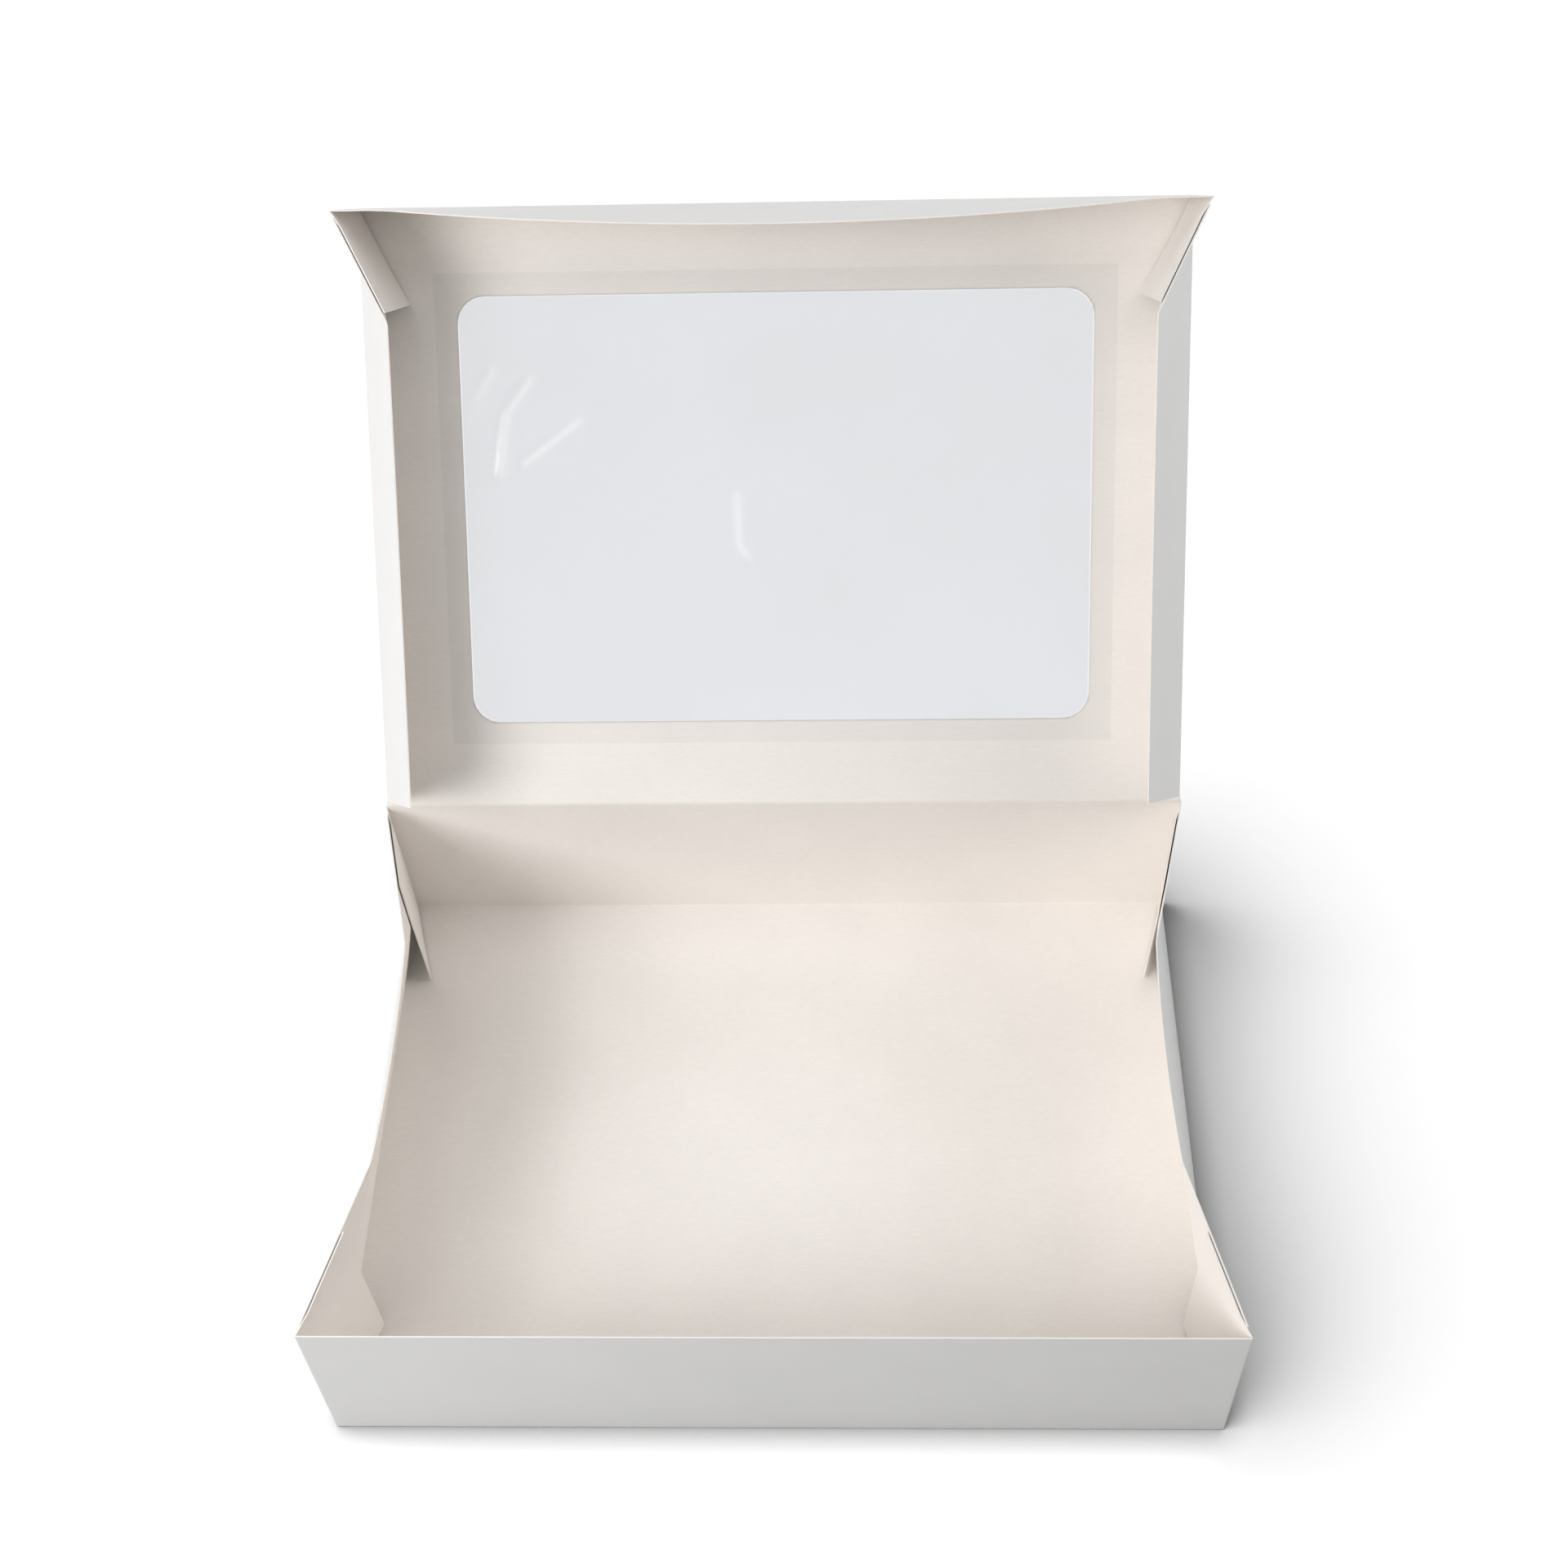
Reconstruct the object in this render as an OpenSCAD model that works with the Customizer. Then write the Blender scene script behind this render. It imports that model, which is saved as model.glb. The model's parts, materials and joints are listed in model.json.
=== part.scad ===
// Folded paperboard cupcake box with a windowed lid, standing open.
// One blank makes the whole box: tray, back wall, lid and glued corner tabs.
// Millimetres, +Z up. The origin is the centre of the tray floor's underside.
// The front wall faces -Y, and the lid hinges on the back wall's top crease.

/* [Board] */
// Thickness of the paperboard
board = 0.5; // [0.3:0.05:0.8]

/* [Tray] */
// Width of the tray floor between its side creases
tray_w = 330; // [260:1:420]
// Depth of the tray floor from front crease to back crease
tray_d = 238; // [200:1:320]
// Height of the tray's walls, measured up the board
tray_h = 76; // [50:1:90]
// Inward lean of each side wall between its diagonal creases, in degrees
tray_lean = 12.8; // [4:0.1:18]
// Run of each diagonal crease along the rim, from the corner
tray_run = 71; // [50:1:90]
// Length of the tray's glued corner tabs
tray_tab = 42; // [25:1:48]
// Extra inward bow at the middle of each side rim
tray_bow = 1.5; // [0:0.1:4]

/* [Lid] */
// Angle of the lid above its closed place, in degrees
lid_open = 130.4; // [95:0.2:160]
// Length of the lid panel beyond the depth of the tray
lid_over = 2; // [2:0.5:8]
// Inset of the lid's side creases from the tray's, which lets the lid tuck in
lid_inset = 1; // [1:0.1:4]
// Height of the lid's walls, measured up the board
lid_h = 48; // [30:1:60]
// Inward lean of the lid's side walls, in degrees
lid_lean = 23.5; // [8:0.5:28]
// Run of the lid's diagonal creases along the rim, from the corner
lid_run = 46; // [34:1:60]
// Length of the lid's glued corner tabs
lid_tab = 42; // [20:1:46]
// Inward bow at the middle of the lid's front rim
lid_front_bow = 7; // [0:0.5:12]
// Share of that rim at each end that the glued tab beside it keeps straight
lid_front_stiff = 0.06; // [0:0.01:0.2]
// Extra inward bow at the middle of each lid side rim
lid_side_bow = 0.2; // [0:0.1:3]
// Distance from the hinge to the foot of the lid's free side ends
lid_end_foot = 1.5; // [1:0.1:4]
// Further distance from the hinge at the tip of the lid's free side ends
lid_end_slant = 6; // [2:0.5:14]
// Gap between the rolled edge of the back wall and the lid panel
hinge_gap = 0.3; // [0.2:0.05:0.6]

/* [Window] */
// Width of the board left on each side of the window
window_side = 38; // [24:1:90]
// Width of the board left in front of the window and behind it
window_end = 34.5; // [20:0.5:70]
// Corner radius of the window
window_r = 11; // [4:1:30]
// Lap of the film over the board round the window
film_lap = 9; // [4:0.5:12]
// Thickness of the clear film
film_t = 0.1; // [0.05:0.05:0.3]

/* [Corner tabs] */
// Gap between a tab's lower edge and the board under it
tab_foot_gap = 0.8; // [0.4:0.1:2]
// Drop of a tab's upper edge below the rim of its wall
tab_drop = 0.4; // [0.2:0.1:2]
// How far the two layers are pressed together at a glued tab
glue_bite = 0.1; // [0.05:0.01:0.15]

/* [Hidden] */

// Facets along a bowed wall, facets up it, and facets round the rolled edge
long_steps = 14;
up_steps = 3;
bead_steps = 8;
// Cut depth that clears the board on both sides
through = 1;

inside_white = [0.91, 0.89, 0.86];
film_clear = [0.86, 0.89, 0.92, 0.4];

// Lean of an end wall, which follows from the lean of the side wall beside it.
// Floor, end wall, glued triangle and side wall meet in one point, and the
// diagonal crease keeps its length in both walls, which fixes this angle.
function end_lean(lean, run, h) =
    let (fold = atan2(run, h), across = sin(fold), up = cos(fold) * cos(lean))
    atan2(across, up) - acos(cos(fold) / norm([across, up]));

// Directions in a corner's own frame, whose origin is the outer corner of the
// creases, +X across to the other side wall, +Y along this one and +Z up.
function corner_up(lean, run, h) =
    let (g = end_lean(lean, run, h)) [0, sin(g), cos(g)];
function corner_along(lean, run, h) =
    ([h * sin(lean), run, h * cos(lean)] - h * corner_up(lean, run, h)) / run;
function corner_in(lean, run, h) =
    cross(corner_along(lean, run, h), corner_up(lean, run, h));
function flip_y(p) = [p[0], -p[1], p[2]];

tray_end_lean = end_lean(tray_lean, tray_run, tray_h);
lid_end_lean = end_lean(lid_lean, lid_run, lid_h);
lid_w = tray_w - 2 * lid_inset;
lid_l = tray_d + lid_over;
window_w = lid_w - 2 * window_side;
window_l = lid_l - 2 * window_end;

// The hinge line runs along the middle of the board at the back wall's top
hinge_up = tray_h - board / 2;
hinge_y = tray_d / 2 - hinge_up * sin(tray_end_lean) - board / 2 * cos(tray_end_lean);
hinge_z = hinge_up * cos(tray_end_lean) - board / 2 * sin(tray_end_lean);

function quad(a, b, c, d) = [[a, b, c], [a, c, d]];

// Closed skin between a grid of outer points and a grid of inner points.
// Both grids run row by row, from the foot of the wall to its rim.
module sheet(outer, inner, cols, rows) {
    m = cols * rows;
    top = (rows - 1) * cols;
    faces = [
        for (j = [0 : rows - 2], i = [0 : cols - 2])
            let (a = j * cols + i, b = a + cols)
            each concat(quad(a, a + 1, b + 1, b), quad(m + a, m + b, m + b + 1, m + a + 1)),
        for (i = [0 : cols - 2])
            let (b = top + i)
            each concat(quad(i + 1, i, m + i, m + i + 1), quad(b, b + 1, m + b + 1, m + b)),
        for (j = [0 : rows - 2])
            let (a = j * cols, b = a + cols, c = b - 1, d = c + cols)
            each concat(quad(a, b, m + b, m + a), quad(d, c, m + c, m + d))
    ];
    polyhedron(points = concat(outer, inner), faces = faces, convexity = 6);
}

// Side wall folded along its diagonal creases, in a corner's own frame.
// Column 0 is the corner's edge, and column 1 the diagonal crease.
// A slant above 0 cuts the far end free, and otherwise it is folded the same.
module side_wall(len, lean, run, h, bow, foot = 0, slant = 0) {
    free = slant > 0;
    last = free ? long_steps : long_steps - 1;
    along = corner_along(lean, run, h);
    up = corner_up(lean, run, h);
    near = corner_in(lean, run, h);
    flat = [cos(lean), 0, -sin(lean)];
    far_corner = [0, len, 0];
    trim = board * along[0] / along[1];
    bury = 0.6 * board;
    heights = [for (j = [0 : up_steps]) j == 0 ? bury : h * j / up_steps];
    outer = [
        for (v = heights, i = [0 : long_steps])
            let (
                k = v / h,
                y0 = run * k,
                y1 = free ? len - foot - slant * k : len - run * k,
                s = (i - 1) / (last - 1),
                edge = up * v + along * min(trim, y0 / 2)
            )
            i == 0 ? edge
            : i > last ? far_corner + flip_y(edge)
            : [v * sin(lean) + bow * k * 4 * s * (1 - s), y0 + (y1 - y0) * s, v * cos(lean)]
    ];
    inner = [
        for (j = [0 : up_steps], i = [0 : long_steps])
            let (
                v = heights[j],
                edge = up * v + along * trim + near * board,
                mitre = (near + flat) * board / (1 + near * flat)
            )
            i == 0 ? edge
            : i > last ? far_corner + flip_y(edge)
            : outer[j * (long_steps + 1) + i]
                + (i == 1 ? mitre : i == last && !free ? flip_y(mitre) : flat * board)
    ];
    sheet(outer, inner, long_steps + 1, up_steps + 1);
}

// Tab of an end wall, glued on the inside of the side wall's end triangle
module corner_tab(tab, lean, run, h) {
    along = corner_along(lean, run, h);
    up = corner_up(lean, run, h);
    across = corner_in(lean, run, h);
    start = 2 * board * along[0] / along[1];
    foot = board + tab_foot_gap;
    multmatrix([
        [along[0], up[0], across[0], 0],
        [along[1], up[1], across[1], 0],
        [along[2], up[2], across[2], 0],
        [0, 0, 0, 1]
    ])
        translate([start, foot, board - glue_bite])
            linear_extrude(board) square([tab - start, h - foot - tab_drop]);
}

// Front wall, floor and back wall, one strip of board bent twice.
// The back wall's top edge is rolled round the hinge line.
module tray_strip() {
    g = tray_end_lean;
    half = tray_d / 2;
    thick = board * [cos(g), -sin(g)];
    rim = [-half + tray_h * sin(g), tray_h * cos(g)];
    inner_foot = half - board * (1 + sin(g)) / cos(g);
    bead = [
        for (k = [0 : bead_steps])
            let (a = g + 180 * k / bead_steps)
            [hinge_y, hinge_z] + board / 2 * [cos(a), sin(a)]
    ];
    translate([-tray_w / 2, 0, 0])
        rotate([90, 0, 90])
            linear_extrude(tray_w)
                polygon(concat(
                    [rim, [-half, 0], [half, 0]],
                    bead,
                    [[inner_foot, board], [-inner_foot, board], rim + thick]
                ));
}

module tray_side() {
    translate([-tray_w / 2, -tray_d / 2, 0]) {
        side_wall(tray_d, tray_lean, tray_run, tray_h, tray_bow);
        corner_tab(tray_tab, tray_lean, tray_run, tray_h);
        translate([0, tray_d, 0])
            mirror([0, 1, 0]) corner_tab(tray_tab, tray_lean, tray_run, tray_h);
    }
}

module tray() {
    color(inside_white) {
        tray_strip();
        tray_side();
        mirror([1, 0, 0]) tray_side();
    }
}

// The lid is drawn lying on its outer face, with the hinge line along X
module place_lid() {
    translate([0, hinge_y, hinge_z])
        rotate([180 - lid_open, 0, 0])
            translate([0, 0, -board / 2]) children();
}

module rounded_window(w, l, r) {
    square([w - 2 * r, l], center = true);
    square([w, l - 2 * r], center = true);
    for (x = [-1, 1], y = [-1, 1])
        translate([x * (w / 2 - r), y * (l / 2 - r)]) circle(r, $fn = 48);
}

module lid_panel() {
    start = board / 2 + hinge_gap;
    difference() {
        translate([-lid_w / 2, start, 0]) cube([lid_w, lid_l - start, board]);
        translate([0, lid_l / 2, -through])
            linear_extrude(board + 2 * through) rounded_window(window_w, window_l, window_r);
    }
}

// Front wall of the lid, straight at its crease and bowed in at its rim
module lid_front() {
    g = lid_end_lean;
    n = long_steps;
    outer = [
        for (j = [0 : up_steps], i = [0 : n])
            let (
                k = j / up_steps,
                s = i / n,
                free = max(0, min(1, (s - lid_front_stiff) / (1 - 2 * lid_front_stiff))),
                v = lid_h * k,
                bow = lid_front_bow * k * 4 * free * (1 - free)
            )
            [lid_w * (s - 0.5), lid_l - v * sin(g) - bow, v * cos(g)]
    ];
    inner = [
        for (j = [0 : up_steps], i = [0 : n])
            outer[j * (n + 1) + i]
                + (j == 0 ? [0, -board / cos(g), 0] : -board * [0, cos(g), sin(g)])
    ];
    sheet(outer, inner, n + 1, up_steps + 1);
}

module lid_side() {
    translate([-lid_w / 2, lid_l, 0])
        mirror([0, 1, 0]) {
            side_wall(lid_l, lid_lean, lid_run, lid_h, lid_side_bow, lid_end_foot, lid_end_slant);
            corner_tab(lid_tab, lid_lean, lid_run, lid_h);
        }
}

module lid() {
    color(inside_white)
        place_lid() {
            lid_panel();
            lid_front();
            lid_side();
            mirror([1, 0, 0]) lid_side();
        }
}

// Clear film glued over the window on the inside of the lid panel
module window_film() {
    w = window_w + 2 * film_lap;
    l = window_l + 2 * film_lap;
    color(film_clear)
        place_lid()
            translate([-w / 2, (lid_l - l) / 2, board]) cube([w, l, film_t]);
}

tray();
lid();
window_film();
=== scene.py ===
"""Looks of a folded cupcake box: boxboard walls, a clear film window and a pale studio.

The board is folded here as the real blank is. Each wall keeps its length up the board,
the side walls tuck in along their diagonal creases, and the tabs of the end walls lie
glued inside them. Lengths are in metres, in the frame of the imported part.
"""

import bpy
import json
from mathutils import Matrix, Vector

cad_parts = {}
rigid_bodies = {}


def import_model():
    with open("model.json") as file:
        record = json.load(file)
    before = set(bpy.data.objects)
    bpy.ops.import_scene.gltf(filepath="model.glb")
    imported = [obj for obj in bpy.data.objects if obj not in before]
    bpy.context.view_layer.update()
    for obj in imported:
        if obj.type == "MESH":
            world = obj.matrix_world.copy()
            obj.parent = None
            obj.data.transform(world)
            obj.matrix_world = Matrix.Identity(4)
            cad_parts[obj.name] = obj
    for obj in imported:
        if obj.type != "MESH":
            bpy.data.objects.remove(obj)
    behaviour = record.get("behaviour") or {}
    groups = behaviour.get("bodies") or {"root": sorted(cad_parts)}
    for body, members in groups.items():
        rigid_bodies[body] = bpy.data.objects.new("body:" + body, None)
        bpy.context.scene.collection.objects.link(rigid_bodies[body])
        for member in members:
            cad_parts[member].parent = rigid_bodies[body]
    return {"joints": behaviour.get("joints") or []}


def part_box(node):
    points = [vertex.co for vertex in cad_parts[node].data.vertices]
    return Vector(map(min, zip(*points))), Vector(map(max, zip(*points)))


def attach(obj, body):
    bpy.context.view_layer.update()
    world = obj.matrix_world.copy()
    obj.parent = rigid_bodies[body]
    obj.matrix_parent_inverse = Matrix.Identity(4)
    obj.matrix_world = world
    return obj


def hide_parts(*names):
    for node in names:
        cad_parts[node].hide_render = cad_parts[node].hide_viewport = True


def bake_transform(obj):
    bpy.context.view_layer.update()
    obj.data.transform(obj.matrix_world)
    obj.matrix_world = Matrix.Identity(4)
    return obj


bl_info = {
    "name": "Cupcake box",
    "version": (1, 0, 0),
    "blender": (4, 5, 0),
    "location": "View3D > Sidebar > Cupcake box",
    "description": "Folds the board, lays the window film and lights the cupcake box",
    "category": "Object",
}

import json
from math import acos, atan2, cos, hypot, pi, radians, sin

import bmesh
import bpy
import numpy as np
from bpy.props import FloatProperty, FloatVectorProperty, PointerProperty
from mathutils import Matrix, Vector

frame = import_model()

MM = 0.001
TRAY_LOW, TRAY_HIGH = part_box("tray")
TRAY_WIDTH = TRAY_HIGH.x - TRAY_LOW.x
TRAY_DEPTH = TRAY_HIGH.y - TRAY_LOW.y
LID_LOW, LID_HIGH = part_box("lid")
LID_WIDTH = LID_HIGH.x - LID_LOW.x
HINGE = np.array(frame["joints"][0]["pos_m"])
# The point that the lamps face, near the middle of the open box
MIDDLE = (0, 0.05, 0.1)
# Half the width of the sweep, and how far it lies under the box
SWEEP_HALF, SWEEP_DROP = 4.0, 0.05 * MM
# Width of the finely stepped strip beside a crease, as a share of the crease's reach
HOLD = 1.45
# Air left between two layers of board, and how close points are merged
AIR, MERGE = 0.02 * MM, 0.002 * MM
# Rows and columns of the film's grid
FILM_COLUMNS, FILM_ROWS = 220, 160
# Rows and columns of the strip of board at the hinge crease
STRIP_ROWS, STRIP_COLUMNS = 13, 49


def linear(code):
    """A colour given as sRGB hex, such as F2EEE6, as linear red, green and blue."""
    shares = [int(code[k : k + 2], 16) / 255 for k in (0, 2, 4)]
    return [s / 12.92 if s <= 0.04045 else ((s + 0.055) / 1.055) ** 2.4 for s in shares]


def size_of(name, default, description):
    return FloatProperty(
        name=name, default=default, description=description, subtype="DISTANCE", unit="LENGTH",
        precision=5,
    )


def angle_of(name, degrees, description):
    return FloatProperty(
        name=name, default=radians(degrees), description=description, subtype="ANGLE",
        unit="ROTATION",
    )


def share_of(name, default, description):
    return FloatProperty(
        name=name, default=default, description=description, subtype="FACTOR", min=0.0, max=1.0,
        precision=3,
    )


def colour_of(name, code, description):
    return FloatVectorProperty(
        name=name, default=linear(code), description=description, subtype="COLOR", min=0.0, max=1.0,
    )


def springs_of(millimetres):
    return FloatVectorProperty(
        name="Tab springs", size=4, default=[m * MM for m in millimetres], unit="LENGTH",
        precision=5,
        description="How far the lower free corner of each tab stands off: front left, front "
        "right, back left, back right",
    )


def lamp_of(name, place, size, watts):
    return FloatVectorProperty(
        name=name, size=5, default=(*place, size, watts),
        description="Place, width and power in watts of a square soft light that faces the box",
    )


def crinkle_of(name, ends):
    return FloatVectorProperty(
        name=name, size=4, default=[m * MM for m in ends], unit="LENGTH", precision=5,
        description="Start and end of a crinkle, across and towards the front from the middle",
    )


class BoardSettings(bpy.types.PropertyGroup):
    """The folding boxboard that the whole box is cut from"""

    thickness: size_of("Thickness", 0.5 * MM, "Thickness of the board")
    crease: size_of("Crease", 0.9 * MM, "How far each side of a fold the board curves")
    outside: colour_of("Outside", "E9E8E7", "Clay-coated outer side of the board")
    inside: colour_of("Inside", "EFEAE5", "Uncoated inner side of the board")
    edge: colour_of("Cut edge", "F0EBE5", "Die-cut edge of the board")


class TraySettings(bpy.types.PropertyGroup):
    """The tray: floor, front wall, back wall, side walls and glued corner tabs"""

    height: size_of("Wall height", 76 * MM, "Height of the walls, up the board")
    lean: angle_of("Side lean", 12.8, "Inward lean of the side walls between their creases")
    run: size_of("Crease run", 71 * MM, "Run of each diagonal crease along the rim")
    bow: size_of("Rim bow", 1.5 * MM, "Extra inward bow at the middle of each side rim")
    tab: size_of("Tab length", 42 * MM, "Length of the glued corner tabs")
    cut: size_of("Edge cut", 4.5 * MM, "Rim cut back from each corner, so the tab shows beside it")
    seam: size_of("Seam", 0.55 * MM, "Gap at the rim between a tab and the wall it is glued to")
    spring: springs_of((2.4, 0.3, 1.4, 1.2))


class LidSettings(bpy.types.PropertyGroup):
    """The lid: windowed panel, bowed front wall and side walls with free back ends"""

    opening: angle_of("Opening", 130.4, "Angle of the lid above its closed place")
    length: size_of("Length", TRAY_DEPTH + 2 * MM, "Length of the panel, hinge to front crease")
    height: size_of("Wall height", 48 * MM, "Height of the walls, up the board")
    lean: angle_of("Side lean", 23.5, "Inward lean of the side walls")
    run: size_of("Crease run", 46 * MM, "Run of each diagonal crease along the rim")
    front_bow: size_of("Front bow", 7 * MM, "Inward bow at the middle of the front rim")
    stiff: share_of("Stiff share", 0.06, "Share of the front rim at each end that stays straight")
    side_bow: size_of("Side bow", 0.2 * MM, "Extra inward bow at the middle of each side rim")
    tab: size_of("Tab length", 42 * MM, "Length of the glued corner tabs")
    cut: size_of("Edge cut", 3 * MM, "Rim cut back from each corner, so the tab shows beside it")
    seam: size_of("Seam", 0.5 * MM, "Gap at the rim between a tab and the wall it is glued to")
    spring: springs_of((1.4, 3.0, 0, 0))
    end_foot: size_of("End foot", 1.5 * MM, "Distance from the hinge to the side walls' ends")
    end_slant: size_of("End slant", 6 * MM, "Further distance from the hinge at the tip of an end")


class WindowSettings(bpy.types.PropertyGroup):
    """The window cut in the lid, and the clear film glued inside it"""

    side: size_of("Side margin", 38 * MM, "Width of the board left on each side")
    end: size_of("End margin", 34.5 * MM, "Width of the board left in front and behind")
    radius: size_of("Corner radius", 11 * MM, "Corner radius of the window")
    lap: size_of("Film lap", 9 * MM, "Lap of the film over the board")
    film: size_of("Film thickness", 0.1 * MM, "Thickness of the film")
    glue: size_of("Glue", 0.03 * MM, "Thickness of the glue under the film's lap")
    ripple: size_of("Ripple", 0.5 * MM, "Height of the film's soft ripples")
    crinkle: size_of("Crinkle", 0.25 * MM, "Height of the film's sharp crinkles")
    crinkle_a: crinkle_of("Crinkle A", (-127, 37, -113.5, 55.6))
    crinkle_b: crinkle_of("Crinkle B", (-98.3, 52.2, -107.6, 39.8))
    crinkle_c: crinkle_of("Crinkle C", (-107.6, 39.8, -111.2, 15.9))
    crinkle_d: crinkle_of("Crinkle D", (-101.1, 20, -78.8, 36.2))
    crinkle_e: crinkle_of("Crinkle E", (-16, 6, -15.5, -14))
    crinkle_f: crinkle_of("Crinkle F", (-15.5, -14, -11.7, -18.6))
    # Painted shade: the free film's tint and haze are darker and heavier than a clear film's own
    # haze, and stand in for the shade on the ground seen through the window
    tint: colour_of("Film tint", "565F7C", "Body colour of the film where it takes light")
    # Painted highlight: the film's colour is mixed towards white along each crinkle's crest
    crinkle_highlight: share_of("Crinkle highlight", 0.35, "How white the film turns at a crinkle")
    haze: share_of("Haze", 0.21, "How much each side of the free film hides")
    glued: share_of("Glued haze", 0.02, "The same, where it lies on glue")


class StudioSettings(bpy.types.PropertyGroup):
    """Camera, lamps and floor"""

    lens_mm: FloatProperty(
        name="Lens", default=47.69, unit="CAMERA", description="Focal length on a 36 mm sensor"
    )
    camera: FloatVectorProperty(
        name="Camera", default=(0.03057, -0.41235, 0.75133), description="Place of the camera",
        subtype="TRANSLATION", unit="LENGTH",
    )
    pitch: angle_of("Pitch", 51.383, "How far the camera looks down")
    yaw: angle_of("Yaw", 3.136, "How far the camera turns to the left")
    roll: angle_of("Roll", -2.842, "Roll of the camera about its line of sight")
    key: lamp_of("Key light, front left", (-0.75, -0.6, 0.7), 0.6, 9.0)
    high: lamp_of("High light, left", (-0.7, 0.05, 1.4), 1.0, 4.8)
    low: lamp_of("Low light, left", (-1.5, 0.1, 0.6), 0.9, 3.7)
    back: lamp_of("Back light", (0, 1.3, 1.1), 0.9, 6.5)
    front: lamp_of("Front light", (0, -1.1, 1.3), 0.9, 3.8)
    top: lamp_of("Top light", (0, 0.05, 1.6), 1.2, 1.4)
    fill: lamp_of("Fill light, right", (1.1, 0.1, 1.2), 0.9, 4.6)
    side: lamp_of("Low fill light, right", (1.5, 0.1, 0.6), 0.9, 6.0)
    sky: FloatVectorProperty(
        name="Floor light", default=(-0.66, -0.26, 1), subtype="DIRECTION",
        description="Where the floor's soft light comes from",
    )
    sky_angle: angle_of("Floor light angle", 70, "Width of the floor's soft light")
    sky_power: FloatProperty(
        name="Floor light power", default=4.95,
        description="Watts a square metre of the floor's light",
    )
    contact: size_of("Contact shade", 12 * MM, "Width of the dark line under the box's edge")
    bounce: share_of("Floor bounce", 0.335, "Share of the floor's light that goes on to the box")
    surround: share_of("Surround", 1.0, "Brightness of the white surround in reflections")
    floor: colour_of("Floor", "E8E8E8", "Colour of the floor that the light meets")


SETTINGS = {
    "board": BoardSettings,
    "tray": TraySettings,
    "lid": LidSettings,
    "window": WindowSettings,
    "studio": StudioSettings,
}


class BoxSettings(bpy.types.PropertyGroup):
    """All sizes and colours of the cupcake box"""

    board: PointerProperty(type=BoardSettings)
    tray: PointerProperty(type=TraySettings)
    lid: PointerProperty(type=LidSettings)
    window: PointerProperty(type=WindowSettings)
    studio: PointerProperty(type=StudioSettings)


def end_lean(lean, run, height):
    """Lean of an end wall. The fold of the corner beside it fixes this angle, because the
    diagonal crease keeps its length in the side wall and in the glued triangle."""
    fold = atan2(run, height)
    across, up = sin(fold), cos(fold) * cos(lean)
    return atan2(across, up) - acos(cos(fold) / hypot(across, up))


class Corner:
    """A folded corner, seen from the point where its creases meet: x runs across to the
    other side wall, y along this side wall and z up."""

    def __init__(self, lean, run, height):
        self.lean, self.run, self.height = lean, run, height
        self.end_lean = end_lean(lean, run, height)
        self.up = np.array([0, sin(self.end_lean), cos(self.end_lean)])
        self.diagonal = np.array([height * sin(lean), run, height * cos(lean)])
        self.along = (self.diagonal - height * self.up) / run
        self.inward = np.cross(self.along, self.up)


def smooth(x):
    """Eases from 0 to 1 as x goes from 0 to 1."""
    x = min(max(x, 0.0), 1.0)
    return x * x * (3 - 2 * x)


def stations(length, hold, step, fixed=()):
    """Distances from 0 to length, close together beside the crease at each end. The
    station nearest to each fixed distance moves onto it."""
    near = np.array([0, 0.35, 0.7, 1]) * hold
    middle = np.linspace(hold, length - hold, round((length - 2 * hold) / step) + 1)
    line = np.concatenate([near, middle[1:-1], length - near[::-1]])
    for place in fixed:
        line[np.abs(line - place).argmin()] = place
    return line


def spread(line, start, end, hold, far_hold):
    """The stations of a foot line, carried to a line from start to end up the wall. Those
    beside a crease keep their distance from it."""
    total = line[-1]
    share = (line - hold) / (total - hold - far_hold)
    middle = start + hold + share * (end - start - hold - far_hold)
    return np.where(
        line <= hold, start + line, np.where(line >= total - far_hold, end - total + line, middle)
    )


def wall_heights(height, hold, foot, top, rows=7):
    """Distances up a wall: close together at its crease, then at the foot and top of its
    tabs, and at its rim."""
    near = [0, 0.35 * hold, 0.7 * hold, foot, 3 * MM]
    return np.array([*near, *np.linspace(8 * MM, top, rows), height])


class Skin:
    """The outer side of one folded sheet, gathered as grids of points that meet at the
    folds, with the creases that are rounded off at the end."""

    def __init__(self):
        self.points, self.faces, self.creases = [], [], []

    def add(self, grid, skip=None):
        """Adds a grid of points. skip names the cells to leave out, as rows and columns."""
        rows, cols = grid.shape[:2]
        first = len(self.points)
        self.points.extend(grid.reshape(-1, 3))
        for j in range(rows - 1):
            for i in range(cols - 1):
                if skip and j in skip[0] and i in skip[1]:
                    continue
                a = first + j * cols + i
                self.faces.append((a, a + 1, a + cols + 1, a + cols))

    def crease(self, start, end, side_a, side_b):
        """Marks a fold. side_a and side_b point from the fold into the board beside it."""
        line = np.array(end, float) - start
        line /= np.linalg.norm(line)
        lift = np.zeros(3)
        for side in (side_a, side_b):
            flat = np.array(side, float) - line * np.dot(side, line)
            lift += flat / np.linalg.norm(flat)
        self.creases.append((np.array(start, float), np.array(end, float), lift))

    def softened(self, reach):
        """The points, with every crease rounded over reach on each side of it."""
        sharp = np.array(self.points)
        soft = sharp.copy()
        for start, end, lift in self.creases:
            line = end - start
            share = np.clip((sharp - start) @ line / (line @ line), 0, 1)
            away = np.linalg.norm(sharp - start - share[:, None] * line, axis=1)
            soft += (np.clip(reach - away, 0, None) ** 2 / (4 * reach))[:, None] * lift
        return soft


def edge_gap(cut, k, near):
    """Distance from a corner to the free edge of the side wall's end triangle, at the share
    k of the wall's height."""
    return min(0.3 * MM + cut * k, near / 2)


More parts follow.
